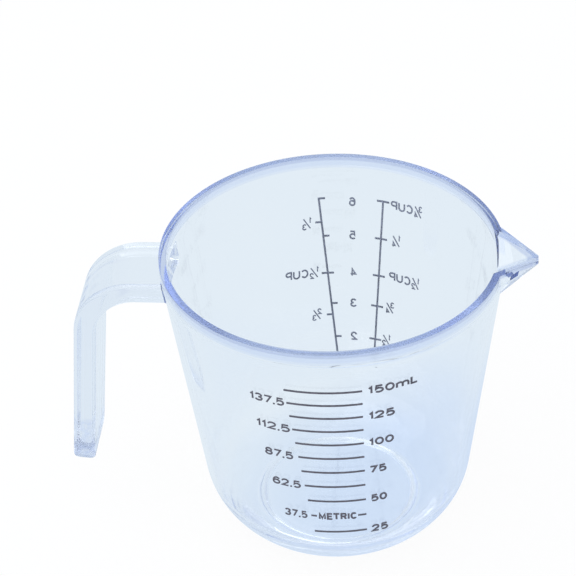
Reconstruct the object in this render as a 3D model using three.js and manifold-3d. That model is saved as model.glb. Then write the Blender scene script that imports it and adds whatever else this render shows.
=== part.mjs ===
// A small clear measuring cup: tapered bowl on a foot ring, rim band, V spout, open hook handle and
// printed scales. Millimetres and degrees, +Z up. The cup stands on z = 0 with its spout towards +X,
// its handle towards -X and its millilitre scale facing -Y.
import * as THREE from "three";
import { ConvexGeometry } from "three/addons/geometries/ConvexGeometry.js";
import { mergeVertices } from "three/addons/utils/BufferGeometryUtils.js";
import Module from "manifold-3d";

const wasm = await Module();
wasm.setup();

// Bowl and rim
const cupHeight = 67.9;
const rimRadius = 35.6; // outside of the rim band
const bandHeight = 2.6;
const bandStep = 0.05; // how far the band stands out from the wall
const rimRound = 0.45; // rounding of the band's two top edges
const wall = 1.15;
const draft = 7.2; // lean of the wall
const heelRadius = 17.4; // outside curve from the wall down to the foot
const bowlCurve = 10; // inside curve from the wall down to the floor
const footRadius = 18.35;
const footWidth = 2;
const recessDepth = 3.2; // hollow under the floor, inside the foot ring
const recessRound = 1;
const floorThickness = 1.3;

// Spout
const spoutHalfAngle = 14; // where each side of the V leaves the rim
const spoutOverhang = 6.7; // how far the tip reaches past the rim
const spoutTipDrop = 1.6; // how far the tip lies below the rim
const spoutTipHeight = 1.5;
const spoutDepth = 13; // where the keel leaves the wall, below the rim
const spoutWall = 1.2;

// Handle
const handleDrop = 4.7; // top of the arm below the rim
const handleThickness = 4.75;
const handleWidth = 15;
const handleBend = 9; // inside radius of the bend
const fingerGap = 14.8; // from the wall to the grip, at the bend
const handleFlare = 5.8; // lean of the grip away from the cup
const handleEnd = 13.4; // height of the free end
const handleEdge = 1; // rounding along the bar
const handleTip = 1.8; // rounding of the free end, seen from the side
const handleCorner = 3.5; // rounding of the free end, seen along the arm

// Print: lines of ink at the heights that amounts fill, placed across the cup from its middle plane
const inkThickness = 0.12;
const inkGap = 0.05; // between the ink and the wall
const inkLine = 0.45;
const topMark = 150; // millilitres, as are the next two
const lowestMark = 25;
const markStep = 12.5;
const markRight = 8.1; // right ends of the millilitre lines
const markLeft = 7.3; // left end of the top line
const markSlant = 6.2; // lean of the line through the left ends
const wordLeft = -2.1; // the next line above the lowest is broken for a word
const wordRight = 6.4;
const ounceAmounts = [39.3, 63, 86, 115.5, 147]; // millilitres at the printed ounces 2 to 6
const thirdAmounts = [54.9, 86, 127]; // millilitres at the ticks on the handle side
const ladderFoot = 28.5; // millilitres at the lower end of both upright lines
const tickLength = 1.4;
const ounceLineTop = -5.5; // upright line on the handle side, at the top tick
const ounceLineLean = 5.2;
const cupLineTop = 9; // upright line on the spout side, at the top tick
const cupLineLean = -3.2;

// Fit and fineness
const seam = 0.2; // between the bowl and what grows out of it
const flats = 96; // round the cup
const turnedSteps = 3; // half the flats along an arc of a turned profile
const arcSteps = 4; // half the flats along an arc of the handle
const slices = 2000; // for the contents

const radians = THREE.MathUtils.degToRad;
const lean = radians(draft);
const flare = radians(handleFlare);
const quarter = Math.PI / 2;

const wallTop = cupHeight - bandHeight;
const floorHeight = recessDepth + floorThickness;
const footInside = footRadius - footWidth;

// Radius of the wall at a height, outside and inside
function outside(height) {
  return rimRadius - bandStep - (wallTop - height) * Math.tan(lean);
}
function inside(height) {
  return outside(height) - wall / Math.cos(lean);
}

// The heel's centre lies one heel radius inside the wall and one heel radius from the foot's edge.
function findHeel() {
  const along = new THREE.Vector2(Math.sin(lean), Math.cos(lean));
  const start = new THREE.Vector2(
    outside(0) - heelRadius * Math.cos(lean),
    heelRadius * Math.sin(lean),
  );
  const foot = new THREE.Vector2(footRadius, 0);
  const toFoot = foot.clone().sub(start);
  const nearest = toFoot.dot(along);
  const aside = toFoot.cross(along);
  const climb = nearest + Math.sqrt(heelRadius ** 2 - aside ** 2);
  return start.addScaledVector(along, climb);
}

// The inside curve touches both the floor and the wall.
function findBowlCurve() {
  const height = floorHeight + bowlCurve;
  return new THREE.Vector2(inside(height) - bowlCurve / Math.cos(lean), height);
}

const heel = findHeel();
const curve = findBowlCurve();
const curveTop = curve.y - bowlCurve * Math.sin(lean);

// Radius of the contents at a height above the floor
function contentsRadius(height) {
  if (height >= curveTop) {
    return inside(height);
  }
  return curve.x + Math.sqrt(bowlCurve ** 2 - (curve.y - height) ** 2);
}

// Height to which an amount in millilitres fills the cup
function fillHeight(millilitres) {
  const slice = (cupHeight - floorHeight) / slices;
  let height = floorHeight;
  let left = millilitres * 1000;
  while (left > 0) {
    const layer = Math.PI * contentsRadius(height + slice / 2) ** 2 * slice;
    height += slice * Math.min(1, left / layer);
    left -= layer;
  }
  return height;
}

// Solids for joining and cutting
function solid(geometry) {
  geometry.deleteAttribute("normal");
  geometry.deleteAttribute("uv");
  const welded = mergeVertices(geometry);
  const corners = welded.index.array;
  const triangles = [];
  for (let i = 0; i < corners.length; i += 3) {
    const [a, b, c] = corners.slice(i, i + 3);
    if (a !== b && b !== c && c !== a) {
      triangles.push(a, b, c);
    }
  }
  return new wasm.Manifold(
    new wasm.Mesh({
      numProp: 3,
      vertProperties: welded.attributes.position.array,
      triVerts: new Uint32Array(triangles),
    }),
  );
}

// A profile of radius against height, turned round the cup's axis
function revolve(profile) {
  const turned = new THREE.LatheGeometry(profile.getPoints(turnedSteps), flats);
  return solid(turned.rotateX(quarter));
}

// An outline of x against height, made into a bar of a given width across the cup
function barAcross(outline, width, edge = 0) {
  const depth = width - 2 * edge;
  const bar = new THREE.ExtrudeGeometry(outline, {
    depth,
    curveSegments: arcSteps,
    bevelEnabled: edge > 0,
    bevelThickness: edge,
    bevelSize: edge,
    bevelOffset: -edge,
    bevelSegments: 2,
  });
  return bar.rotateX(quarter).translate(0, depth / 2, 0);
}

function outlineOf(points) {
  return new THREE.Shape(points.map(([x, y]) => new THREE.Vector2(x, y)));
}

// Bowl: wall, heel, foot ring and floor in one shell
function bowlProfile() {
  const footAngle = Math.atan2(-heel.y, footRadius - heel.x);
  const profile = new THREE.Path();
  profile.moveTo(0, recessDepth);
  profile.lineTo(footInside - recessRound, recessDepth);
  profile.absarc(
    footInside - recessRound,
    recessDepth - recessRound,
    recessRound,
    quarter,
    0,
    true,
  );
  profile.lineTo(footInside, 0);
  profile.lineTo(footRadius, 0);
  profile.absarc(heel.x, heel.y, heelRadius, footAngle, -lean, false);
  profile.lineTo(outside(wallTop), wallTop);
  profile.lineTo(inside(wallTop), wallTop);
  profile.absarc(curve.x, curve.y, bowlCurve, -lean, -quarter, true);
  profile.lineTo(0, floorHeight);
  return profile;
}

// Rim band: sits on the wall's flat top
function bandProfile() {
  const inner = inside(wallTop);
  const round = Math.min(rimRound, (rimRadius - inner) / 2);
  const profile = new THREE.Path();
  profile.moveTo(inner, wallTop);
  profile.lineTo(rimRadius, wallTop);
  profile.absarc(rimRadius - round, cupHeight - round, round, 0, quarter, false);
  profile.absarc(inner + round, cupHeight - round, round, quarter, Math.PI, false);
  profile.closePath();
  return profile;
}

// Everything within the seam round the bowl and the band
function envelope() {
  return revolve(
    outlineOf([
      [0, 0],
      [outside(0) + seam, 0],
      [outside(wallTop) + seam, wallTop - seam],
      [rimRadius + seam, wallTop - seam],
      [rimRadius + seam, cupHeight + spoutDepth],
      [0, cupHeight + spoutDepth],
    ]),
  );
}

// Spout: two flat plates that meet in a keel. Each plate passes through a corner on the rim, the
// point where the keel leaves the wall, and the lower end of the tip.
const spoutReach = rimRadius + spoutOverhang;
const keelHeight = cupHeight - spoutDepth;
const tipTop = cupHeight - spoutTipDrop;
const rimCorner = new THREE.Vector3(
  rimRadius * Math.cos(radians(spoutHalfAngle)),
  rimRadius * Math.sin(radians(spoutHalfAngle)),
  cupHeight,
);
const keelFoot = new THREE.Vector3(outside(keelHeight), 0, keelHeight);
const keelTip = new THREE.Vector3(spoutReach, 0, tipTop - spoutTipHeight);
const plate = new THREE.Plane().setFromCoplanarPoints(rimCorner, keelFoot, keelTip);
const keelSlope = (keelTip.z - keelFoot.z) / (keelTip.x - keelFoot.x);
const channelLift = spoutWall / Math.abs(plate.normal.z);

function halfWidth(x, height) {
  return -(plate.constant + plate.normal.x * x + plate.normal.z * height) / plate.normal.y;
}

// The wedge of space above the two plates, raised by a lift
function trough(lift) {
  const top = cupHeight + spoutDepth;
  const back = keelFoot.x - spoutDepth;
  const side = halfWidth(back, top - lift);
  const keelAt = (x) => keelFoot.z + (x - keelFoot.x) * keelSlope + lift;
  const front = keelFoot.x + (top - lift - keelFoot.z) / keelSlope;
  return solid(
    new ConvexGeometry([
      new THREE.Vector3(back, 0, keelAt(back)),
      new THREE.Vector3(back, side, top),
      new THREE.Vector3(back, -side, top),
      new THREE.Vector3(front, 0, top),
    ]),
  );
}

function spoutSide() {
  return outlineOf([
    [0, 0],
    [spoutReach, 0],
    [spoutReach, tipTop],
    [rimCorner.x, cupHeight],
    [0, cupHeight],
  ]);
}

function makeSpout() {
  return trough(0)
    .intersect(solid(barAcross(spoutSide(), 2 * rimRadius)))
    .subtract(trough(channelLift))
    .subtract(envelope());
}

// Handle: a flat bar that leaves the wall level, bends down and leans out to a free end
const armTop = cupHeight - handleDrop;
const armBottom = armTop - handleThickness;

function handleSide() {
  const outerBend = handleBend + handleThickness;
  const bend = new THREE.Vector2(
    handleBend - fingerGap - outside(armBottom),
    armBottom - handleBend,
  );
  const outward = new THREE.Vector2(-Math.cos(flare), Math.sin(flare));
  const down = new THREE.Vector2(-Math.sin(flare), -Math.cos(flare));
  const gripTop = bend.y + (handleBend + handleThickness / 2) * outward.y;
  const gripLength = (gripTop - handleEnd) / Math.cos(flare) - handleTip;
  const tipAt = (distance) =>
    bend.clone().addScaledVector(outward, distance).addScaledVector(down, gripLength);
  const outerTip = tipAt(outerBend - handleTip);
  const innerTip = tipAt(handleBend + handleTip);
  const outAngle = Math.PI - flare;
  const shape = new THREE.Shape();
  shape.moveTo(0, armTop);
  shape.lineTo(bend.x, armTop);
  shape.absarc(bend.x, bend.y, outerBend, quarter, outAngle, false);
  shape.absarc(outerTip.x, outerTip.y, handleTip, outAngle, outAngle + quarter, false);
  shape.absarc(innerTip.x, innerTip.y, handleTip, outAngle + quarter, outAngle + 2 * quarter, false);
  shape.absarc(bend.x, bend.y, handleBend, outAngle, quarter, true);
  shape.lineTo(0, armBottom);
  return shape;
}

// Outline of the bar seen along the arm, with the free end's two rounded corners
function handleFront() {
  const half = handleWidth / 2;
  const turn = half - handleCorner;
  const centre = handleEnd + handleCorner - handleThickness * Math.sin(flare);
  const shape = new THREE.Shape();
  shape.moveTo(half, cupHeight);
  shape.lineTo(-half, cupHeight);
  shape.absarc(-turn, centre, handleCorner, Math.PI, 3 * quarter, false);
  shape.absarc(turn, centre, handleCorner, 3 * quarter, 4 * quarter, false);
  return shape;
}

function makeHandle() {
  const bar = solid(barAcross(handleSide(), handleWidth, handleEdge));
  const front = new THREE.ExtrudeGeometry(handleFront(), {
    depth: 4 * rimRadius,
    curveSegments: arcSteps,
    bevelEnabled: false,
  });
  front.rotateX(quarter).rotateZ(quarter).translate(-4 * rimRadius, 0, 0);
  return bar.intersect(solid(front)).subtract(envelope());
}

// Print: a thin skin of ink round the wall, cut to the artwork as a screen print is
const inkTop = wallTop - inkLine;

function inkSkin() {
  const low = heel.y - heelRadius * Math.sin(lean);
  const near = inkGap / Math.cos(lean);
  const far = near + inkThickness;
  const profile = outlineOf([
    [outside(low) + near, low],
    [outside(low) + far, low],
    [outside(inkTop) + far, inkTop],
    [outside(inkTop) + near, inkTop],
  ]);
  profile.closePath();
  return revolve(profile);
}

// A straight line of ink between two points of the artwork, on the front or the back of the cup
function stroke([x0, z0], [x1, z1], side) {
  const along = new THREE.Vector2(x1 - x0, z1 - z0).setLength(inkLine / 2);
  const outline = outlineOf([
    [x0 - along.y, z0 + along.x],
    [x0 + along.y, z0 - along.x],
    [x1 + along.y, z1 - along.x],
    [x1 - along.y, z1 + along.x],
  ]);
  return solid(barAcross(outline, rimRadius).translate(0, side * rimRadius, 0));
}

const front = -1;
const back = 1;
const skin = inkSkin();

// Millilitre lines, as many as fit under the band
function millilitreMarks() {
  const marks = new Map();
  const highest = fillHeight(topMark);
  for (let amount = lowestMark; amount <= topMark; amount += markStep) {
    const height = fillHeight(amount);
    if (height + inkLine > inkTop) {
      break;
    }
    const left = (highest - height) * Math.tan(radians(markSlant)) - markLeft;
    const line = (from, to) => skin.intersect(stroke([from, height], [to, height], front));
    const name = `mark_${amount}_ml`;
    if (amount === lowestMark + markStep) {
      marks.set(`${name}_left`, line(left, wordLeft));
      marks.set(`${name}_right`, line(wordRight, markRight));
    } else {
      marks.set(name, line(left, markRight));
    }
  }
  return marks;
}

// An upright line of the back scale, with ticks towards the handle and towards the spout
function ladder(topAcross, lineLean, handleTicks, spoutTicks) {
  const lowest = fillHeight(ladderFoot);
  const highest = fillHeight(Math.max(...ounceAmounts));
  const across = (height) => topAcross + (highest - height) * Math.tan(radians(lineLean));
  let artwork = stroke([across(lowest), lowest], [across(highest), highest], back);
  const addTicks = (amounts, reach) => {
    for (const amount of amounts) {
      const height = fillHeight(amount);
      const middle = across(height);
      const start = middle - (Math.sign(reach) * inkLine) / 2;
      artwork = artwork.add(stroke([start, height], [middle + reach, height], back));
    }
  };
  addTicks(handleTicks, -tickLength);
  addTicks(spoutTicks, tickLength);
  return skin.intersect(artwork);
}

// The pieces, each with its own material
const clearPlastic = () =>
  new THREE.MeshStandardMaterial({
    color: 0xd9e9f5,
    roughness: 0.08,
    metalness: 0,
    transparent: true,
    opacity: 0.5,
  });
const ink = () => new THREE.MeshStandardMaterial({ color: 0x554e5a, roughness: 0.6, metalness: 0 });

function piece(name, body, material) {
  const { vertProperties, triVerts } = body.getMesh();
  const geometry = new THREE.BufferGeometry();
  geometry.setAttribute("position", new THREE.BufferAttribute(vertProperties, 3));
  geometry.setIndex(new THREE.BufferAttribute(triVerts, 1));
  geometry.computeVertexNormals();
  const mesh = new THREE.Mesh(geometry, material);
  mesh.name = name;
  return mesh;
}

const cup = new THREE.Group();
cup.add(
  piece("cup_bowl", revolve(bowlProfile()).subtract(trough(channelLift)), clearPlastic()),
  piece("rim_band", revolve(bandProfile()).subtract(trough(channelLift)), clearPlastic()),
  piece("pour_spout", makeSpout(), clearPlastic()),
  piece("handle", makeHandle(), clearPlastic()),
);
for (const [name, body] of millilitreMarks()) {
  cup.add(piece(name, body, ink()));
}
cup.add(
  piece("ounce_scale", ladder(ounceLineTop, ounceLineLean, thirdAmounts, ounceAmounts), ink()),
  piece("cup_scale", ladder(cupLineTop, cupLineLean, ounceAmounts, ounceAmounts), ink()),
);

// The origin is the middle of the footprint, from the handle's end to the spout's tip.
const footprint = new THREE.Box3().setFromObject(cup);
cup.position.x = -footprint.getCenter(new THREE.Vector3()).x;

const part = new THREE.Group();
part.add(cup);

export default part;
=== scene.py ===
"""A small clear measuring cup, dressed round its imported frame.

Pieces are modelled in millimetres round the cup's own axis, then settled into the frame in metres.
The spout points to +X, the handle to -X and the millilitre scale to -Y.
"""

import math

import bmesh
import bpy
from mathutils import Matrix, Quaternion, Vector


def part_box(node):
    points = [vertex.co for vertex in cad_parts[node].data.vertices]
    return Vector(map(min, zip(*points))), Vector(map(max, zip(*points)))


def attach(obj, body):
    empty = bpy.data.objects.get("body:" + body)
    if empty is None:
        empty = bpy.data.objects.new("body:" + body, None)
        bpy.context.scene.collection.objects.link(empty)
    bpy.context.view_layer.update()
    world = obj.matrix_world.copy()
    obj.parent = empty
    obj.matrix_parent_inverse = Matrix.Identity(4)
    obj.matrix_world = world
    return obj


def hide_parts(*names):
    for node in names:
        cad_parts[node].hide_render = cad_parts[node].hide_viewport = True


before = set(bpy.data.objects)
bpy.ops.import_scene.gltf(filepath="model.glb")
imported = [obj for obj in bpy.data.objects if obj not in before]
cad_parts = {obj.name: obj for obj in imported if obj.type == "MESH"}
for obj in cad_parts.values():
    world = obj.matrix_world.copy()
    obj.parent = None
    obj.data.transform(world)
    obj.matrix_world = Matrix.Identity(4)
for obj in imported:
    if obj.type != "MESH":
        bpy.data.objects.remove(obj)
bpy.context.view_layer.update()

MM = 0.001  # metres in a millimetre
TOUCHING = 0.001  # millimetres; places nearer to each other than this are one place

# The frame's own places
rim_low, rim_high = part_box("rim_band")
_, handle_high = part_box("handle")
CUP_AXIS = rim_low.x + rim_high.y  # metres from the frame's origin
RIM_RADIUS = rim_high.y / MM
CUP_HEIGHT = rim_high.z / MM
WALL_TOP = rim_low.z / MM
ARM_TOP = handle_high.z / MM

# Bowl and rim
FLATS = 192  # round the cup
WALL = 1.15
DRAFT = math.radians(7.2)
BAND_STEP = 0.05
BAND_GROOVE = 0.06  # depth of the shadow line under the band
GROOVE_HEIGHT = 0.7
RIM_ROUND = 0.14
RIM_LIP = 0.35  # the band is this much thicker than the wall, on the inside
LIP_FADE = 3  # the extra thickness runs out this far below the band
HEEL_RADIUS = 17.4
BOWL_CURVE = 10
FOOT_RADIUS = 18.35
FOOT_WIDTH = 1
FOOT_ROUND = 0.4
RECESS_DEPTH = 3.2
RECESS_ROUND = 2.4
FLOOR_HEIGHT = 4.5
RECESS_STEPS = 5
FOOT_STEPS = 4
HEEL_STEPS = 22
RIM_STEPS = 5
CURVE_STEPS = 16
SHARP_ANGLE = math.radians(25)  # edges that turn more than this stay sharp

# Spout
SPOUT_HALF_ANGLE = math.radians(14)
SPOUT_REACH = RIM_RADIUS + 6.7
SPOUT_TIP_TOP = CUP_HEIGHT - 1.6
SPOUT_TIP_LOW = SPOUT_TIP_TOP - 1.5
KEEL_HEIGHT = CUP_HEIGHT - 11.2
SPOUT_WALL = 1.5
KEEL_ROUND = 0.7
CREASE_ROUND = 0.9
SPOUT_TIP_WIDTH = 2
CHANNEL_LIFT = 6.5  # of the crease over the keel, at the wall
SPOUT_BLOCK = 30  # side of the block that the spout is cut from
CHANNEL_OVERRUN = 7.5  # of the channel's cutter past the tip
KEEL_STEPS = 5

# Handle
HANDLE_THICKNESS = 4.75
HANDLE_WIDTH = 16.2
HANDLE_END_WIDTH = 14.6
HANDLE_BEND = 9
HANDLE_EDGE = 1
HANDLE_END = 13.4
HANDLE_TIP = 1.8
HANDLE_CORNER = 3.5
HANDLE_FLARE = math.radians(5.8)
FINGER_GAP = 14.8
ROOT_FILLET = 0.5
ROOT_OVERLAP = 0.05  # of the fillet and the wall
ROOT_DEPTH = 3 * WALL  # from the fillet into the cup, before the bar is trimmed
EDGE_STEPS = 5
BEND_STEPS = 18
ROOT_STEPS = 4
END_STEPS = 7

# Print
INK_GAP = 0.05  # between wall and ink
INK_THICKNESS = 0.12
FRONT = math.radians(-90)
BACK = math.radians(90)


def wall_radius(height):
    """Outside radius of the wall at a height."""
    return RIM_RADIUS - BAND_STEP - (WALL_TOP - height) * math.tan(DRAFT)


def inner_radius(height):
    """Inside radius of the wall at a height."""
    return wall_radius(height) - WALL / math.cos(DRAFT)


def arc(centre, radius, start, end, steps):
    """Points along an arc, in degrees; the radius may differ across and up."""
    across, up = radius if isinstance(radius, tuple) else (radius, radius)
    points = []
    for step in range(steps + 1):
        angle = math.radians(start + (end - start) * step / steps)
        points.append((centre[0] + across * math.cos(angle), centre[1] + up * math.sin(angle)))
    return points


# Steps of modelling


def clear_selection():
    """Leaves nothing selected, so that the next step acts on its own shape alone."""
    if bpy.context.mode != "OBJECT":
        bpy.ops.object.mode_set(mode="OBJECT")
    bpy.ops.object.select_all(action="DESELECT")


def take(piece):
    """Makes one piece the only one selected, in object mode."""
    clear_selection()
    piece.select_set(True)
    bpy.context.view_layer.objects.active = piece


def start_shape(name):
    """Names the new primitive, puts its place in its mesh and opens it for shaping."""
    piece = bpy.context.object
    piece.name = name
    bpy.ops.object.transform_apply(location=True, rotation=True, scale=True)
    bpy.ops.object.mode_set(mode="EDIT")
    bpy.ops.mesh.select_all(action="SELECT")
    return piece


def close_shape(piece):
    """Turns the faces of a shaped solid outwards and leaves edit mode."""
    bpy.ops.mesh.select_all(action="SELECT")
    bpy.ops.mesh.normals_make_consistent(inside=False)
    bpy.ops.object.mode_set(mode="OBJECT")
    return piece


def choose_faces(piece, wanted):
    """Selects only the faces whose middle passes a test."""
    bpy.ops.mesh.select_mode(type="FACE")
    bpy.ops.mesh.select_all(action="DESELECT")
    shape = bmesh.from_edit_mesh(piece.data)
    for face in shape.faces:
        face.select_set(wanted(face.calc_center_median()))
    bmesh.update_edit_mesh(piece.data)


def choose_edges(piece, wanted):
    """Selects only the edges whose two ends pass a test."""
    bpy.ops.mesh.select_mode(type="EDGE")
    bpy.ops.mesh.select_all(action="DESELECT")
    shape = bmesh.from_edit_mesh(piece.data)
    for edge in shape.edges:
        edge.select_set(all(wanted(vertex.co) for vertex in edge.verts))
    bmesh.update_edit_mesh(piece.data)


def draw_out(move):
    """Extrudes what is selected by a move."""
    bpy.ops.mesh.extrude_region_move(TRANSFORM_OT_translate={"value": move})


def combine(base, other, operation):
    """Joins another solid to the base or cuts it from the base, and uses it up."""
    take(base)
    modifier = base.modifiers.new("combine", "BOOLEAN")
    modifier.operation = operation
    modifier.solver = "EXACT"
    modifier.object = other
    bpy.ops.object.modifier_apply(modifier=modifier.name)
    bpy.data.objects.remove(other)


def settle(piece):
    """Moves a piece from the cup's axis, in millimetres, to its place in the frame, in metres."""
    take(piece)
    piece.scale = (MM, MM, MM)
    piece.location.x = CUP_AXIS
    bpy.ops.object.transform_apply(location=True, rotation=True, scale=True)


def turned(name, profile):
    """A solid turned round the cup's axis: each ring is drawn from the one before it."""
    radius, height = profile[0]
    clear_selection()
    bpy.ops.mesh.primitive_circle_add(
        vertices=FLATS, radius=radius, fill_type="NGON", location=(0, 0, height)
    )
    piece = start_shape(name)
    for next_radius, next_height in profile[1:]:
        draw_out((0, 0, next_height - height))
        scale = next_radius / radius
        bpy.ops.transform.resize(
            value=(scale, scale, 1), center_override=(0, 0, next_height)
        )
        radius, height = next_radius, next_height
    return close_shape(piece)


# Moulding: bowl, rim band, spout and handle without a seam


def heel_centre():
    """Centre of the heel's arc: its radius inside the wall, and its radius from the foot's edge."""
    along = Vector((math.sin(DRAFT), math.cos(DRAFT)))
    start = Vector(
        (wall_radius(0) - HEEL_RADIUS * math.cos(DRAFT), HEEL_RADIUS * math.sin(DRAFT))
    )
    to_foot = Vector((FOOT_RADIUS, 0)) - start
    aside = to_foot.cross(along)
    climb = to_foot.dot(along) + math.sqrt(HEEL_RADIUS**2 - aside**2)
    return start + along * climb


def shell_profile():
    """Once round the section of the bowl: recess, foot, heel, wall, band, inside and floor."""
    foot_inside = FOOT_RADIUS - FOOT_WIDTH
    recess = (foot_inside - RECESS_ROUND, RECESS_DEPTH - RECESS_ROUND)
    foot_edge = (foot_inside + FOOT_ROUND, FOOT_ROUND)
    heel = heel_centre()
    heel_start = math.degrees(math.atan2(-heel.y, FOOT_RADIUS - heel.x))
    lean = math.degrees(DRAFT)
    groove = WALL_TOP - GROOVE_HEIGHT
    band_inside = inner_radius(WALL_TOP) - RIM_LIP
    rim_round = CUP_HEIGHT - RIM_ROUND
    lip_end = WALL_TOP - LIP_FADE
    curve_height = FLOOR_HEIGHT + BOWL_CURVE
    curve = (inner_radius(curve_height) - BOWL_CURVE / math.cos(DRAFT), curve_height)
    return [
        *arc(recess, RECESS_ROUND, 90, 0, RECESS_STEPS),
        *arc(foot_edge, FOOT_ROUND, 180, 270, FOOT_STEPS),
        (FOOT_RADIUS, 0),
        *arc(heel, HEEL_RADIUS, heel_start, -lean, HEEL_STEPS)[1:],
        (wall_radius(groove - GROOVE_HEIGHT), groove - GROOVE_HEIGHT),
        (wall_radius(groove), groove),
        (wall_radius(groove) - BAND_GROOVE, groove + GROOVE_HEIGHT / 2),
        (RIM_RADIUS - BAND_GROOVE, WALL_TOP),
        (RIM_RADIUS, WALL_TOP + GROOVE_HEIGHT / 2),
        *arc((RIM_RADIUS - RIM_ROUND, rim_round), RIM_ROUND, 0, 90, RIM_STEPS),
        *arc((band_inside + RIM_ROUND, rim_round), RIM_ROUND, 90, 180, RIM_STEPS),
        (band_inside, WALL_TOP + RIM_LIP),
        (inner_radius(lip_end), lip_end),
        *arc(curve, BOWL_CURVE, -lean, -90, CURVE_STEPS),
    ]


def inside_plug():
    """Fills the bowl to the middle of its wall, to trim what grows out of the outside."""
    middle = WALL / 2 / math.cos(DRAFT)
    low = KEEL_HEIGHT - SPOUT_BLOCK
    return turned(
        "inside_plug",
        [
            (wall_radius(low) - middle, low),
            (wall_radius(WALL_TOP) - middle, WALL_TOP),
            (wall_radius(WALL_TOP) - middle, CUP_HEIGHT + SPOUT_BLOCK),
        ],
    )


def spout_corner():
    """Where the top of the spout leaves the rim, on the +Y side."""
    return Vector(
        (
            RIM_RADIUS * math.cos(SPOUT_HALF_ANGLE),
            RIM_RADIUS * math.sin(SPOUT_HALF_ANGLE),
            CUP_HEIGHT,
        )
    )


def lip_normal():
    """Outward normal of the upright lip that carries the rim band round the spout."""
    corner = spout_corner()
    return Vector((corner.y - SPOUT_TIP_WIDTH / 2, SPOUT_REACH - corner.x, 0)).normalized()


def both_sides(point, normal):
    """A plate and its twin on the other side of the keel."""
    across = Vector((1, -1, 1))
    return [(point, normal), (point * across, normal * across)]


def outer_plates():
    """The upright lip of the spout, and the plate below it that leans in to the keel."""
    corner = spout_corner()
    under_lip = Vector((corner.x, corner.y, WALL_TOP))
    foot = Vector((wall_radius(KEEL_HEIGHT), 0, KEEL_HEIGHT))
    tip = Vector((SPOUT_REACH, 0, SPOUT_TIP_LOW))
    leaning = (under_lip - foot).cross(tip - foot).normalized()
    return both_sides(corner, lip_normal()) + both_sides(under_lip, leaning)


def channel_plates():
    """The faces of the channel, from the lip's inner edge down to the crease."""
    offset = lip_normal() * SPOUT_WALL
    corner = spout_corner() - offset
    tip = Vector((SPOUT_REACH, SPOUT_TIP_WIDTH / 2, SPOUT_TIP_TOP)) - offset
    crease = Vector((wall_radius(KEEL_HEIGHT), 0, KEEL_HEIGHT + CHANNEL_LIFT))
    return both_sides(corner, (corner - crease).cross(tip - crease).normalized())


def cut_away(point, normal):
    """Cuts everything beyond a plane off the shape in hand, and closes the cut."""
    bpy.ops.mesh.select_all(action="SELECT")
    bpy.ops.mesh.bisect(plane_co=point, plane_no=normal, use_fill=True, clear_outer=True)


def spout_wedge(name, plates, front, keel_round):
    """A wedge between two plates that meet in a keel, up to a front."""
    clear_selection()
    bpy.ops.mesh.primitive_cube_add(
        size=SPOUT_BLOCK, location=(front - SPOUT_BLOCK / 2, 0, CUP_HEIGHT)
    )
    piece = start_shape(name)
    for point, normal in plates:
        cut_away(point, normal)
    choose_edges(piece, lambda place: abs(place.y) < TOUCHING)
    bpy.ops.mesh.bevel(offset=keel_round, segments=KEEL_STEPS, affect="EDGES")
    return piece


def pour_spout():
    """The solid spout, sloped from the rim's corners down to a blunt tip."""
    corner = spout_corner()
    piece = spout_wedge("pour_spout_body", outer_plates(), SPOUT_REACH, KEEL_ROUND)
    slope = Vector((CUP_HEIGHT - SPOUT_TIP_TOP, 0, SPOUT_REACH - corner.x))
    cut_away(corner, slope.normalized())
    cut_away(corner, Vector((0, 0, 1)))
    return close_shape(piece)


def pour_channel():
    """The hollow of the spout, which also opens the wall behind it."""
    front = SPOUT_REACH + CHANNEL_OVERRUN
    return close_shape(spout_wedge("pour_channel", channel_plates(), front, CREASE_ROUND))


def bend_centre():
    """Centre of the handle's bend, seen from the side."""
    arm_bottom = ARM_TOP - HANDLE_THICKNESS
    return Vector(
        (HANDLE_BEND - FINGER_GAP - wall_radius(arm_bottom), 0, arm_bottom - HANDLE_BEND)
    )


def handle_end(piece, height):
    """Rounds the free end: corners across the bar, and a smaller round through it."""
    half_width = HANDLE_WIDTH / 2
    half_thickness = HANDLE_THICKNESS / 2
    middle = -HANDLE_BEND - half_thickness
    width, thickness, reach = half_width, half_thickness, 0
    for step in range(1, END_STEPS + 1):
        next_reach = HANDLE_CORNER * math.sin(math.radians(90 * step / END_STEPS))
        into_tip = max(0, next_reach - HANDLE_CORNER + HANDLE_TIP)
        next_width = half_width - HANDLE_CORNER + math.sqrt(HANDLE_CORNER**2 - next_reach**2)
        next_thickness = half_thickness - HANDLE_TIP + math.sqrt(HANDLE_TIP**2 - into_tip**2)
        draw_out((0, 0, reach - next_reach))
        bpy.ops.transform.resize(
            value=(next_thickness / thickness, next_width / width, 1),
            center_override=(middle, 0, height - next_reach),
        )
        width, thickness, reach = next_width, next_thickness, next_reach


def root_start():
    """Where the arm starts to spread, before the wall."""
    return -wall_radius(ARM_TOP) - 2 * ROOT_FILLET


def root_pitch():
    """Distance between the rings of the fillet before they are spread."""
    return ROOT_FILLET / ROOT_STEPS


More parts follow.
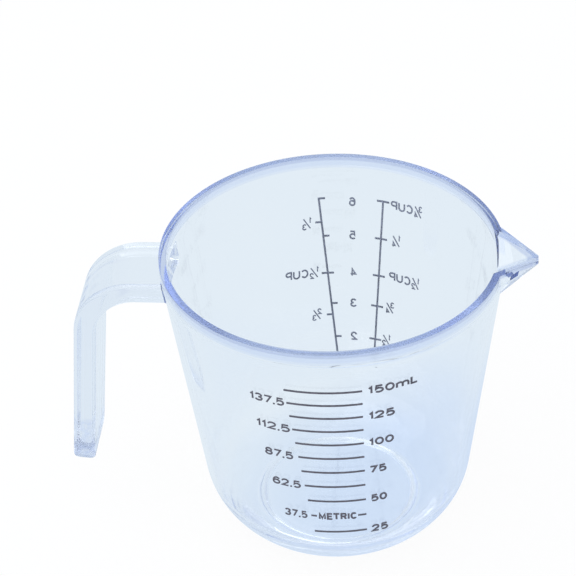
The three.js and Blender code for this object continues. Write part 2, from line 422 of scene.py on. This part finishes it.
def root_fillet(piece):
    """Spreads the last rings of the arm on to the wall in a small fillet."""
    middle = ARM_TOP - HANDLE_THICKNESS / 2
    for vertex in piece.data.vertices:
        ring = round((vertex.co.x - root_start()) / root_pitch())
        if ring < 0 or vertex.co.z < ARM_TOP - HANDLE_THICKNESS - TOUCHING:
            continue
        turn = math.radians(90 * min(ring, ROOT_STEPS) / ROOT_STEPS)
        grow = ROOT_FILLET * (1 - math.cos(turn))
        vertex.co.y *= 1 + grow / (HANDLE_WIDTH / 2)
        vertex.co.z = middle + (vertex.co.z - middle) * (1 + grow / (HANDLE_THICKNESS / 2))
        if ring > ROOT_STEPS:
            continue
        off_wall = ROOT_FILLET * (1 - math.sin(turn)) - ROOT_OVERLAP
        wall = math.sqrt(wall_radius(vertex.co.z) ** 2 - vertex.co.y**2)
        vertex.co.x = -wall - off_wall


def hook_handle():
    """A flat bar: down the grip to its free end, then round the bend and along the arm."""
    half = HANDLE_THICKNESS / 2
    bend = bend_centre()
    grip_height = bend.z + (HANDLE_BEND + half) * math.sin(HANDLE_FLARE) - HANDLE_END
    grip_length = grip_height / math.cos(HANDLE_FLARE) - HANDLE_CORNER
    clear_selection()
    bpy.ops.mesh.primitive_plane_add(size=1, location=(-HANDLE_BEND - half, 0, 0))
    piece = start_shape("hook_handle")
    bpy.ops.transform.resize(
        value=(HANDLE_THICKNESS, HANDLE_WIDTH, 1), center_override=(-HANDLE_BEND - half, 0, 0)
    )
    bpy.ops.mesh.bevel(offset=HANDLE_EDGE, segments=EDGE_STEPS, affect="VERTICES")
    bpy.ops.mesh.select_all(action="SELECT")
    draw_out((0, 0, -grip_length))
    handle_end(piece, -grip_length)
    choose_faces(piece, lambda place: abs(place.z) < TOUCHING)
    turn = math.pi / 2 - HANDLE_FLARE
    bpy.ops.mesh.spin(steps=BEND_STEPS, angle=-turn, center=(0, 0, 0), axis=(0, 1, 0))
    along = Vector((math.cos(HANDLE_FLARE), 0, math.sin(HANDLE_FLARE)))
    draw_out(along * (root_start() - bend.x))
    for _ in range(ROOT_STEPS):
        draw_out(along * root_pitch())
    draw_out(along * ROOT_DEPTH)
    close_shape(piece)
    piece.rotation_euler.y = HANDLE_FLARE
    piece.location = bend
    bpy.ops.object.transform_apply(location=True, rotation=True, scale=False)
    for vertex in piece.data.vertices:
        down = min(1, max(0, (bend.z - vertex.co.z) / (bend.z - HANDLE_END)))
        vertex.co.y *= 1 - down * (1 - HANDLE_END_WIDTH / HANDLE_WIDTH)
    root_fillet(piece)
    return piece


def cup_moulding():
    """The whole clear moulding as one closed shape."""
    cup = turned("cup_moulding", shell_profile())
    for grown in (hook_handle(), pour_spout()):
        combine(grown, inside_plug(), "DIFFERENCE")
        combine(cup, grown, "UNION")
    combine(cup, pour_channel(), "DIFFERENCE")
    take(cup)
    bpy.ops.object.mode_set(mode="EDIT")
    bpy.ops.mesh.select_all(action="SELECT")
    bpy.ops.mesh.remove_doubles(threshold=TOUCHING)
    bpy.ops.object.mode_set(mode="OBJECT")
    settle(cup)
    bpy.ops.object.shade_smooth_by_angle(angle=SHARP_ANGLE)
    even = cup.modifiers.new("even_normals", "WEIGHTED_NORMAL")
    even.keep_sharp = True
    bpy.ops.object.modifier_apply(modifier=even.name)
    return cup


# Lettering: each sign is drawn with strokes of a flat pen in a box one wide and one high

ROUND_STEPS = 24
SIGNS = {
    "0": [arc((0.5, 0.5), (0.5, 0.5), 0, 360, ROUND_STEPS)],
    "1": [[(0, 0.72), (0.85, 0.97), (0.85, 0)]],
    "2": [[*arc((0.5, 0.7), (0.48, 0.3), 175, -35, ROUND_STEPS), (0, 0), (1, 0)]],
    "3": [
        arc((0.48, 0.75), (0.45, 0.25), 160, -90, ROUND_STEPS),
        arc((0.48, 0.26), (0.52, 0.26), 90, -160, ROUND_STEPS),
    ],
    "4": [[(1, 0.26), (0, 0.26), (0.7, 1), (0.7, 0)]],
    "5": [
        [
            (0.94, 1),
            (0.16, 1),
            (0.07, 0.48),
            *arc((0.48, 0.32), (0.52, 0.32), 130, -138, ROUND_STEPS),
        ],
    ],
    "6": [
        arc((0.5, 0.31), (0.5, 0.31), 0, 360, ROUND_STEPS),
        [*arc((0.53, 0.5), (0.53, 0.5), 40, 180, ROUND_STEPS), (0, 0.31)],
    ],
    "7": [[(0, 1), (1, 1), (0.3, 0)]],
    "8": [
        arc((0.5, 0.76), (0.43, 0.24), 0, 360, ROUND_STEPS),
        arc((0.5, 0.27), (0.5, 0.27), 0, 360, ROUND_STEPS),
    ],
    ".": [[(0, -0.1), (0, 0.1)]],
    "m": [
        [(0, 0), (0, 0.72)],
        [*arc((0.25, 0.46), (0.25, 0.26), 180, 0, ROUND_STEPS), (0.5, 0)],
        [*arc((0.75, 0.46), (0.25, 0.26), 180, 0, ROUND_STEPS), (1, 0)],
    ],
    "L": [[(0, 1), (0, 0), (1, 0)]],
    "M": [[(0, 0), (0, 1), (0.5, 0.12), (1, 1), (1, 0)]],
    "E": [[(1.2, 1), (0, 1), (0, 0), (1.2, 0)], [(0, 0.51), (1.1, 0.51)]],
    "T": [[(-0.2, 1), (1.2, 1)], [(0.5, 1), (0.5, 0)]],
    "R": [
        [(0, 0), (0, 1), *arc((0.62, 0.75), (0.38, 0.25), 90, -90, ROUND_STEPS), (0, 0.5)],
        [(0.55, 0.5), (1, 0)],
    ],
    "I": [[(0.5, 0), (0.5, 1)]],
    "C": [arc((0.55, 0.5), (0.55, 0.5), 42, 318, ROUND_STEPS)],
    "U": [[(0, 1), *arc((0.5, 0.36), (0.5, 0.36), 180, 360, ROUND_STEPS), (1, 1)]],
    "P": [[(0, 0), (0, 1), *arc((0.6, 0.73), (0.4, 0.27), 90, -90, ROUND_STEPS), (0, 0.46)]],
}
SIGN_WIDTH = {"1": 0.36, ".": 0, "m": 1.6, "M": 1.2, "I": 0, "L": 0.8, "E": 0.85, "P": 0.9}
SIGN_SPACE = 0.17  # clear room between two signs, where 1 is the width of a round sign
SHARPEST_CORNER = 0.45  # limit of a mitre


def lay_stroke(shape, path, pen):
    """Lays one stroke of the pen as a flat strip with mitred corners."""
    points = [Vector(point) for point in path]
    closed = (points[0] - points[-1]).length < TOUCHING
    if closed:
        points.pop()
    edges = []
    for index, point in enumerate(points):
        ways = []
        if closed or index > 0:
            ways.append((point - points[index - 1]).normalized())
        if closed or index + 1 < len(points):
            ways.append((points[(index + 1) % len(points)] - point).normalized())
        way = (ways[0] + ways[-1]).normalized()
        reach = pen / 2 / max(way.dot(ways[0]), SHARPEST_CORNER)
        side = Vector((-way.y, way.x)) * reach
        edges.append([shape.verts.new((*(point + end), 0)) for end in (side, -side)])
    pairs = zip(edges, edges[1:] + edges[:1] if closed else edges[1:])
    for (left, right), (next_left, next_right) in pairs:
        shape.faces.new((left, right, next_right, next_left))


def lay_words(shape, words, corner, size, pen):
    """Lays a row of signs with its outer edges in a box of a given corner and size."""
    widths = [SIGN_WIDTH.get(sign, 1) for sign in words]
    natural = sum(widths) + SIGN_SPACE * (len(words) - 1)
    unit = (size[0] - pen * len(words)) / natural
    height = size[1] - pen
    left, low = corner[0] + pen / 2, corner[1] + pen / 2
    for sign, width in zip(words, widths):
        for path in SIGNS[sign]:
            lay_stroke(shape, [(left + x * width * unit, low + y * height) for x, y in path], pen)
        left += (width + SIGN_SPACE) * unit + pen


def finish_print(name, shape, facing):
    """Gives flat strokes the ink's thickness and wraps them on the wall, as a screen print is."""
    mesh = bpy.data.meshes.new(name)
    shape.to_mesh(mesh)
    shape.free()
    piece = bpy.data.objects.new(name, mesh)
    bpy.context.scene.collection.objects.link(piece)
    take(piece)
    bpy.ops.object.mode_set(mode="EDIT")
    bpy.ops.mesh.select_all(action="SELECT")
    draw_out((0, 0, INK_THICKNESS))
    close_shape(piece)
    for vertex in mesh.vertices:
        along, height, off_wall = vertex.co
        wall = wall_radius(height)
        angle = facing + along / wall
        radius = wall + INK_GAP + off_wall
        vertex.co = (radius * math.cos(angle), radius * math.sin(angle), height)
    settle(piece)
    return piece


def mark_height(node):
    """Height of a printed line in the frame."""
    low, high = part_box(node)
    return (low.z + high.z) / 2 / MM


DIGIT_HEIGHT = 2.15
BOLD_PEN = 0.42
FINE_PEN = 0.37
WORD_HEIGHT = 2.05
# Words, left edge, width, and the line that they stand beside
RIGHT_LABELS = [
    ("150mL", 9.3, 10.5, "mark_150_ml"),
    ("125", 9.3, 5.4, "mark_125_ml"),
    ("100", 9.2, 5.2, "mark_100_ml"),
    ("75", 9.1, 3.6, "mark_75_ml"),
    ("50", 9.2, 3.5, "mark_50_ml"),
    ("25", 9.2, 3.6, "mark_25_ml"),
]
LEFT_LABELS = [
    ("137.5", -14.8, 7.4, "mark_137.5_ml"),
    ("112.5", -13.8, 7.2, "mark_112.5_ml"),
    ("87.5", -12.4, 6.1, "mark_87.5_ml"),
    ("62.5", -11.2, 6.1, "mark_62.5_ml"),
    ("37.5", -9.0, 4.9, "mark_37.5_ml_left"),
]
METRIC_LEFT = -1.75
METRIC_WIDTH = 7.9


def lay_labels(shape, labels, pen):
    """Lays each label beside its line, level with it."""
    for words, left, width, node in labels:
        low = mark_height(node) - DIGIT_HEIGHT / 2
        lay_words(shape, words, (left, low), (width, DIGIT_HEIGHT), pen)


def front_lettering():
    """Amounts beside the millilitre lines, and the word in the broken line."""
    right = bmesh.new()
    lay_labels(right, RIGHT_LABELS, BOLD_PEN)
    left = bmesh.new()
    lay_labels(left, LEFT_LABELS, FINE_PEN)
    word = bmesh.new()
    low = mark_height("mark_37.5_ml_right") - WORD_HEIGHT / 2
    lay_words(word, "METRIC", (METRIC_LEFT, low), (METRIC_WIDTH, WORD_HEIGHT), BOLD_PEN)
    return [
        finish_print("quarter_amounts", right, FRONT),
        finish_print("half_step_amounts", left, FRONT),
        finish_print("metric_word", word, FRONT),
    ]


OUNCE_LEFT = -2.75
OUNCE_WIDTH = 1.5
# Figure, and height of its middle
OUNCE_LABELS = [("6", 56.2), ("5", 47.9), ("4", 38.5), ("3", 30.6), ("2", 21.9)]
FRACTION_WIDTH = 2.2
FRACTION_HEIGHT = 3.1
FRACTION_FIGURE = 1.5
FRACTION_UNIT = 0.72  # width of a round figure, without the pen
FRACTION_PEN = 0.27
SLASH_MARGIN = 0.35
CUP_WIDTH = 5.4
# Upper figure, lower figure, left edge, height of the middle, and whether the unit's word follows
CUP_LABELS = [
    ("1", "3", 7.2, 51.1, False),
    ("1", "2", 5.8, 38.6, True),
    ("2", "3", 5.4, 27.7, False),
    ("3", "4", -18.75, 56.6, True),
    ("1", "4", -13.3, 47.9, False),
    ("1", "2", -18.3, 38.8, True),
    ("3", "4", -11.75, 30.6, False),
    ("1", "2", -10.9, 22.0, False),
]
CUP_SPACE = 0.25


def lay_fraction(shape, above, below, left, middle):
    """Lays a fraction with its first figure high, a slash, and its second figure low."""
    low = middle - FRACTION_HEIGHT / 2
    high = low + FRACTION_HEIGHT - FRACTION_FIGURE
    width = FRACTION_PEN + FRACTION_UNIT * SIGN_WIDTH.get(above, 1)
    lay_words(shape, above, (left, high), (width, FRACTION_FIGURE), FRACTION_PEN)
    width = FRACTION_PEN + FRACTION_UNIT * SIGN_WIDTH.get(below, 1)
    right = left + FRACTION_WIDTH - width
    lay_words(shape, below, (right, low), (width, FRACTION_FIGURE), FRACTION_PEN)
    slash_low = (left + SLASH_MARGIN, low + SLASH_MARGIN)
    slash_high = (left + FRACTION_WIDTH - SLASH_MARGIN, low + FRACTION_HEIGHT - SLASH_MARGIN)
    lay_stroke(shape, [slash_low, slash_high], FRACTION_PEN)


def back_lettering():
    """Ounces between the two upright lines, and fractions of a cup outside them."""
    ounces = bmesh.new()
    for sign, middle in OUNCE_LABELS:
        corner = (OUNCE_LEFT, middle - DIGIT_HEIGHT / 2)
        lay_words(ounces, sign, corner, (OUNCE_WIDTH, DIGIT_HEIGHT), FINE_PEN)
    fractions = bmesh.new()
    for above, below, left, middle, named in CUP_LABELS:
        lay_fraction(fractions, above, below, left, middle)
        if named:
            corner = (left + FRACTION_WIDTH + CUP_SPACE, middle - DIGIT_HEIGHT / 2)
            lay_words(fractions, "CUP", corner, (CUP_WIDTH, DIGIT_HEIGHT), FINE_PEN)
    return [
        finish_print("ounce_amounts", ounces, BACK),
        finish_print("cup_fractions", fractions, BACK),
    ]


# Finishes: a pattern is the grain of a noise, in cells per metre, then its lowest and highest level

NOISE_DETAIL = 3
NOISE_SPAN = (0.3, 0.7)  # the part of the noise that is spread over the two levels


def metres(*lengths):
    """Lengths in millimetres as metres."""
    return [length * MM for length in lengths]


def feed(tree, socket, value):
    """Gives a socket a plain number, a colour, or what another socket puts out."""
    if isinstance(value, bpy.types.NodeSocket):
        tree.links.new(value, socket)
    elif isinstance(value, tuple):
        socket.default_value = (*value, 1)
    else:
        socket.default_value = value


def ramp(tree, value, span, levels=(0, 1), change="SMOOTHSTEP"):
    """One level at the start of a span, the other at its end, and a change between them."""
    spread = tree.nodes.new("ShaderNodeMapRange")
    spread.interpolation_type = change
    names = ("Value", "From Min", "From Max", "To Min", "To Max")
    for name, given in zip(names, (value, *span, *levels)):
        feed(tree, spread.inputs[name], given)
    return spread.outputs["Result"]


def combine_values(tree, operation, *values):
    """One sum on values of the surface and plain numbers."""
    result = tree.nodes.new("ShaderNodeMath")
    result.operation = operation
    for socket, value in zip(result.inputs, values):
        feed(tree, socket, value)
    return result.outputs["Value"]


def blend_colours(tree, share, first, second):
    """Two colours mixed by a share that changes over the surface."""
    mix = tree.nodes.new("ShaderNodeMix")
    mix.data_type = "RGBA"
    for name, value in (("Factor", share), ("A", first), ("B", second)):
        feed(tree, mix.inputs[name], value)
    return mix.outputs["Result"]


def vector_length(tree, vector):
    """Length of a vector."""
    length = tree.nodes.new("ShaderNodeVectorMath")
    length.operation = "LENGTH"
    tree.links.new(vector, length.inputs[0])
    return length.outputs["Value"]


def unevenness_group():
    """Soft noise between two levels, for haze, ripples and print."""
    group = bpy.data.node_groups.new("unevenness", "ShaderNodeTree")
    sockets = group.interface
    sockets.new_socket("Vector", in_out="INPUT", socket_type="NodeSocketVector")
    for name in ("Scale", "Low", "High"):
        sockets.new_socket(name, in_out="INPUT", socket_type="NodeSocketFloat")
    sockets.new_socket("Level", in_out="OUTPUT", socket_type="NodeSocketFloat")
    given = group.nodes.new("NodeGroupInput")
    result = group.nodes.new("NodeGroupOutput")
    noise = group.nodes.new("ShaderNodeTexNoise")
    noise.inputs["Detail"].default_value = NOISE_DETAIL
    group.links.new(given.outputs["Vector"], noise.inputs["Vector"])
    group.links.new(given.outputs["Scale"], noise.inputs["Scale"])
    levels = (given.outputs["Low"], given.outputs["High"])
    level = ramp(group, noise.outputs["Fac"], NOISE_SPAN, levels)
    group.links.new(level, result.inputs["Level"])
    return group


UNEVENNESS = unevenness_group()


def uneven(tree, place, pattern):
    """One use of the unevenness, with its own grain and levels."""
    group = tree.nodes.new("ShaderNodeGroup")
    group.node_tree = UNEVENNESS
    for name, value in zip(("Vector", "Scale", "Low", "High"), (place, *pattern)):
        feed(tree, group.inputs[name], value)
    return group.outputs["Level"]


def bump(tree, height, strength, depth):
    """The surface's normal, moved by an uneven height."""
    relief = tree.nodes.new("ShaderNodeBump")
    relief.inputs["Strength"].default_value = strength
    relief.inputs["Distance"].default_value = depth * MM
    tree.links.new(height, relief.inputs["Height"])
    return relief.outputs["Normal"]


def new_finish(name):
    """A material with its node tree, its Principled shader and the piece's own coordinates."""
    finish = bpy.data.materials.new(name)
    finish.use_nodes = True
    tree = finish.node_tree
    place = tree.nodes.new("ShaderNodeTexCoord")
    return finish, tree, tree.nodes["Principled BSDF"], place.outputs["Object"]


def wear(piece, finish):
    """Gives a piece its one finish."""
    piece.data.materials.clear()
    piece.data.materials.append(finish)


# Clear plastic

PLASTIC_IOR = 1.49
PLASTIC_TINTS = ((0.988, 0.994, 1), (0.995, 0.998, 1))
CAST = (40, 0, 1)
# Painted shade: the rim band is bluer than the wall, standing in for the shading of its upright face
BAND_SHADE_BLUE = (0.84, 0.885, 1)
# Partly painted shade: the base is bluer, standing in for the shaded floor seen through it, and partly
# the tone of its thicker plastic
BASE_SHADE_BLUE = (0.95, 0.973, 1)
END_BLUE = (0.72, 0.79, 1)
TOP_EDGE_SHADE_BLUE = (0.53, 0.59, 0.8)  # painted shade on the top edges, standing in for the deep blue of plastic seen on edge
DEPTH_BLUE = (0, 0.18, 0.62)  # the colour that light takes on in the depth of the plastic
DEPTH_DENSITY = 4
CUP_MARGIN = 0.05  # the bowl's finishes end between one and two margins outside the rim
BAND_FADE = 0.3  # above and below the band's lower edge
BASE_FADE = (8, 4.6)  # heights where the base's painted shade starts and is full
END_FADE = (HANDLE_END + 6.6, HANDLE_END + 5)  # heights where the frost starts and is full
TOP_FADE = (-0.95, -0.55)  # heights over the top edges where their painted shade starts and is full
RIPPLE_FADE = (RIM_RADIUS + 8, RIM_RADIUS + 1)  # distances from the axis, as above
MOTTLE = (900, 0.2, 1)
HAZE = (130, 0.015, 0.045)
SATIN = (130, 0.1, 0.14)
FROST = (700, 0.1, 0.3)
RIPPLE = (110, 0, 1)
RIPPLE_STRETCH = 0.25
RIPPLE_STRENGTH = 0.08
RIPPLE_DEPTH = 0.2


def from_axis(tree, place):
    """Distance from the cup's axis, and height, in metres."""
    centred = tree.nodes.new("ShaderNodeMapping")
    centred.inputs["Location"].default_value = (-CUP_AXIS, 0, 0)
    tree.links.new(place, centred.inputs["Vector"])
    flat = tree.nodes.new("ShaderNodeVectorMath")
    flat.operation = "MULTIPLY"
    flat.inputs[1].default_value = (1, 1, 0)
    tree.links.new(centred.outputs["Vector"], flat.inputs[0])
    parts = tree.nodes.new("ShaderNodeSeparateXYZ")
    tree.links.new(centred.outputs["Vector"], parts.inputs["Vector"])
    return vector_length(tree, flat.outputs["Vector"]), parts.outputs["Z"]


def plastic_zones(tree, distance, height):
    """How far a place is in the rim band, the base, the handle's end and the top edges."""
    in_cup = ramp(tree, distance, metres(RIM_RADIUS + 2 * CUP_MARGIN, RIM_RADIUS + CUP_MARGIN))
    past_cup = combine_values(tree, "SUBTRACT", 1, in_cup)
    on_band = ramp(tree, height, metres(WALL_TOP - BAND_FADE, WALL_TOP + BAND_FADE))
    near_base = ramp(tree, height, metres(*BASE_FADE))
    low_end = ramp(tree, height, metres(*END_FADE))
    spout_run = metres(RIM_RADIUS, SPOUT_REACH)
    top_edge = ramp(tree, distance, spout_run, metres(CUP_HEIGHT, SPOUT_TIP_TOP), "LINEAR")
    over_edge = combine_values(tree, "SUBTRACT", height, top_edge)
    return {
        "band": combine_values(tree, "MULTIPLY", on_band, in_cup),
        "base": combine_values(tree, "MULTIPLY", near_base, in_cup),
        "handle_end": combine_values(tree, "MINIMUM", low_end, past_cup),
        "top": ramp(tree, over_edge, metres(*TOP_FADE)),
    }


def plastic_colour(tree, place, zones):
    """A faint cast, painted shade in the rim band, the base and the top edges, and a mottled blue at
    the handle's end.
    """
    colour = blend_colours(tree, uneven(tree, place, CAST), *PLASTIC_TINTS)
    mottled = combine_values(tree, "MULTIPLY", uneven(tree, place, MOTTLE), zones["handle_end"])
    # Painted shade in the band, base and top zones; the mottled blue of the frosted end is the
    # plastic's own
    tints = [
        (zones["band"], BAND_SHADE_BLUE),
        (zones["base"], BASE_SHADE_BLUE),
        (mottled, END_BLUE),
        (zones["top"], TOP_EDGE_SHADE_BLUE),
    ]
    for share, blue in tints:
        colour = blend_colours(tree, share, colour, blue)
    return colour


def plastic_roughness(tree, place, zones):
    """A slight haze all over, a satin rim band and a frosted end of the handle."""
    haze = uneven(tree, place, HAZE)
    frost = combine_values(tree, "MULTIPLY", uneven(tree, place, FROST), zones["handle_end"])
    satin = combine_values(tree, "MULTIPLY", uneven(tree, place, SATIN), zones["band"])
    treated = combine_values(tree, "MAXIMUM", frost, satin)
    return combine_values(tree, "MAXIMUM", haze, treated)


def moulding_ripples(tree, place, distance):
    """Slow ripples in the cup, drawn out upwards, that fade along the handle."""
    stretch = tree.nodes.new("ShaderNodeMapping")
    stretch.inputs["Scale"].default_value = (1, 1, RIPPLE_STRETCH)
    tree.links.new(place, stretch.inputs["Vector"])
    wave = uneven(tree, stretch.outputs["Vector"], RIPPLE)
    in_reach = ramp(tree, distance, metres(*RIPPLE_FADE))
    height = combine_values(tree, "MULTIPLY", wave, in_reach)
    return bump(tree, height, RIPPLE_STRENGTH, RIPPLE_DEPTH)


def clear_plastic():
    """Clear moulded plastic with a faint blue cast, slight haze and slow moulding ripples."""
    finish, tree, shader, place = new_finish("clear_plastic")
    shader.inputs["Transmission Weight"].default_value = 1
    shader.inputs["IOR"].default_value = PLASTIC_IOR
    distance, height = from_axis(tree, place)
    zones = plastic_zones(tree, distance, height)
    tree.links.new(plastic_colour(tree, place, zones), shader.inputs["Base Color"])
    tree.links.new(plastic_roughness(tree, place, zones), shader.inputs["Roughness"])
    tree.links.new(moulding_ripples(tree, place, distance), shader.inputs["Normal"])
    depth = tree.nodes.new("ShaderNodeVolumeAbsorption")
    depth.inputs["Color"].default_value = (*DEPTH_BLUE, 1)
    depth.inputs["Density"].default_value = DEPTH_DENSITY
    tree.links.new(depth.outputs["Volume"], tree.nodes["Material Output"].inputs["Volume"])
    return finish


# Ink

BOLD_TINTS = ((0.075, 0.068, 0.088), (0.11, 0.1, 0.125))
THIN_TINTS = ((0.24, 0.26, 0.36), (0.3, 0.32, 0.43))
INK_COVER = (900, 0, 1)
INK_SHEEN = (2500, 0.45, 0.7)
INK_MESH = (4000, 0, 1)
INK_MESH_STRENGTH = 0.3
INK_MESH_DEPTH = 0.02


def print_ink(name, tints):
    """Matt screen ink, a little uneven where it was pressed through the mesh."""
    finish, tree, shader, place = new_finish(name)
    colour = blend_colours(tree, uneven(tree, place, INK_COVER), *tints)
    tree.links.new(colour, shader.inputs["Base Color"])
    tree.links.new(uneven(tree, place, INK_SHEEN), shader.inputs["Roughness"])
    mesh_mark = bump(tree, uneven(tree, place, INK_MESH), INK_MESH_STRENGTH, INK_MESH_DEPTH)
    tree.links.new(mesh_mark, shader.inputs["Normal"])
    return finish


# Studio: camera and shade are placed in millimetres round the cup's axis, lamps in metres in the frame

PAGE_WHITE = (1, 1, 1)
GROUND_GREY = (0.9, 0.9, 0.9)
SHEET_BLUE = (0.775, 0.855, 0.925)
SHADE_BLUE = (0.63, 0.745, 0.925)
ROOM_BLUE = (0.66, 0.73, 0.86)
SHADE_PLACE = (15, 8, 0)
SHADE_LENGTH = 68  # from its middle to its ends
SHADE_WIDTH = 40  # from its middle to its sides
SHADE_TURN = math.radians(58)
SHADE_CORE = 0.2  # share of the shade that is at full depth
PAGE_SHARE = 0.94  # the rest of the floor takes light and shadow
FLOOR_SIZE = 6  # metres
SIDE_SPAN = (0.3, 0.7)  # how far aside a direction points where the room starts to dim and is dim
SIDE_RISE = (0.1, 0.45)  # how far up it points where the dim sides start and are full
CEILING_RISE = (0.7, 0.97)  # how far up it points where the dim ceiling starts and is full
CAMERA_PLACE = (30.26, -345.93, 315.93)
CAMERA_AIM = (-10.59, 10.88, 49.28)
CAMERA_ROLL = math.radians(-2.7)
CAMERA_LENS = 129.87
LIGHT_BOUNCES = 200  # so that no path through the many walls ends in black
# Name, place, side and watts
LAMPS = [
    ("key_lamp", (-0.5, -0.45, 0.9), 1.8, 10),
    ("back_lamp", (0.1, 1, 0.25), 0.3, 0.2),
]


def in_frame(place):
    """A place round the cup's axis, in millimetres, as a place in the frame, in metres."""
    return Vector(place) * MM + Vector((CUP_AXIS, 0, 0))


def make_camera():
    """The photograph's view."""
    data = bpy.data.cameras.new("camera")
    data.lens = CAMERA_LENS
    camera = bpy.data.objects.new("camera", data)
    bpy.context.scene.collection.objects.link(camera)
    camera.location = in_frame(CAMERA_PLACE)
    look = (in_frame(CAMERA_AIM) - camera.location).to_track_quat("-Z", "Y")
    camera.rotation_mode = "QUATERNION"
    camera.rotation_quaternion = look @ Quaternion((0, 0, 1), CAMERA_ROLL)
    bpy.context.scene.camera = camera


def make_lamps():
    """A large soft lamp in front and a weak one behind, turned to the frame's origin."""
    for name, place, size, watts in LAMPS:
        data = bpy.data.lights.new(name, "AREA")
        data.size = size
        data.energy = watts
        lamp = bpy.data.objects.new(name, data)
        bpy.context.scene.collection.objects.link(lamp)
        lamp.location = place
        lamp.rotation_mode = "QUATERNION"
        lamp.rotation_quaternion = (-lamp.location).to_track_quat("-Z", "Y")


def pale_sheet(tree):
    """The floor's colour through plastic: pale blue, with a long deeper shade under the cup."""
    place = tree.nodes.new("ShaderNodeTexCoord")
    shade = tree.nodes.new("ShaderNodeMapping")
    shade.vector_type = "TEXTURE"
    shade.inputs["Location"].default_value = in_frame(SHADE_PLACE)
    shade.inputs["Rotation"].default_value = (0, 0, SHADE_TURN)
    shade.inputs["Scale"].default_value = (SHADE_LENGTH * MM, SHADE_WIDTH * MM, 1)
    tree.links.new(place.outputs["Object"], shade.inputs["Vector"])
    away = vector_length(tree, shade.outputs["Vector"])
    return blend_colours(tree, ramp(tree, away, (SHADE_CORE, 1)), SHADE_BLUE, SHEET_BLUE)


def floor_finish():
    """A white page to the camera, a pale sheet through the plastic, and a floor that takes shadow."""
    finish = bpy.data.materials.new("floor_page")
    finish.use_nodes = True
    tree = finish.node_tree
    tree.nodes.clear()
    ray = tree.nodes.new("ShaderNodeLightPath").outputs
    by_plastic = combine_values(tree, "MAXIMUM", ray["Is Transmission Ray"], ray["Is Glossy Ray"])
    page = tree.nodes.new("ShaderNodeEmission")
    tree.links.new(blend_colours(tree, by_plastic, PAGE_WHITE, pale_sheet(tree)), page.inputs["Color"])
    ground = tree.nodes.new("ShaderNodeBsdfDiffuse")
    ground.inputs["Color"].default_value = (*GROUND_GREY, 1)
    page_share = combine_values(tree, "MULTIPLY_ADD", ray["Is Camera Ray"], PAGE_SHARE, by_plastic)
    mix = tree.nodes.new("ShaderNodeMixShader")
    tree.links.new(page_share, mix.inputs["Fac"])
    tree.links.new(ground.outputs["BSDF"], mix.inputs[1])
    tree.links.new(page.outputs["Emission"], mix.inputs[2])
    output = tree.nodes.new("ShaderNodeOutputMaterial")
    tree.links.new(mix.outputs["Shader"], output.inputs["Surface"])
    return finish


def make_floor():
    """The plane that the cup stands on."""
    clear_selection()
    bpy.ops.mesh.primitive_plane_add(size=FLOOR_SIZE)
    floor = bpy.context.object
    floor.name = "floor"
    wear(floor, floor_finish())


def make_world():
    """A pale backdrop before and behind, dim sides and ceiling; white where the camera sees it."""
    world = bpy.data.worlds.new("studio")
    bpy.context.scene.world = world
    world.use_nodes = True
    tree = world.node_tree
    place = tree.nodes.new("ShaderNodeTexCoord")
    parts = tree.nodes.new("ShaderNodeSeparateXYZ")
    tree.links.new(place.outputs["Generated"], parts.inputs["Vector"])
    aside = combine_values(tree, "ABSOLUTE", parts.outputs["X"])
    beside = ramp(tree, aside, SIDE_SPAN)
    raised = ramp(tree, parts.outputs["Z"], SIDE_RISE)
    sides = combine_values(tree, "MULTIPLY", beside, raised)
    overhead = ramp(tree, parts.outputs["Z"], CEILING_RISE)
    dim = combine_values(tree, "MAXIMUM", sides, overhead)
    room = blend_colours(tree, dim, SHEET_BLUE, ROOM_BLUE)
    ray = tree.nodes.new("ShaderNodeLightPath").outputs
    seen = blend_colours(tree, ray["Is Camera Ray"], room, PAGE_WHITE)
    tree.links.new(seen, tree.nodes["Background"].inputs["Color"])


def dress_cup():
    """Makes the pieces, and gives them and the frame's printed lines their finishes."""
    plastic = clear_plastic()
    bold_ink = print_ink("bold_ink", BOLD_TINTS)
    thin_ink = print_ink("thin_ink", THIN_TINTS)
    cup = cup_moulding()
    wear(cup, plastic)
    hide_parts("cup_bowl", "rim_band", "pour_spout", "handle")
    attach(cup, "root")
    for pieces, ink in ((front_lettering(), bold_ink), (back_lettering(), thin_ink)):
        for piece in pieces:
            wear(piece, ink)
            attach(piece, "root")
    for name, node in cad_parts.items():
        if name.startswith("mark_"):
            wear(node, bold_ink)
        if name.endswith("_scale"):
            wear(node, thin_ink)


make_camera()
make_lamps()
make_floor()
make_world()
dress_cup()
bpy.context.scene.view_settings.view_transform = "Standard"
bpy.context.scene.cycles.max_bounces = LIGHT_BOUNCES
bpy.context.scene.cycles.glossy_bounces = LIGHT_BOUNCES
bpy.context.scene.cycles.transmission_bounces = LIGHT_BOUNCES
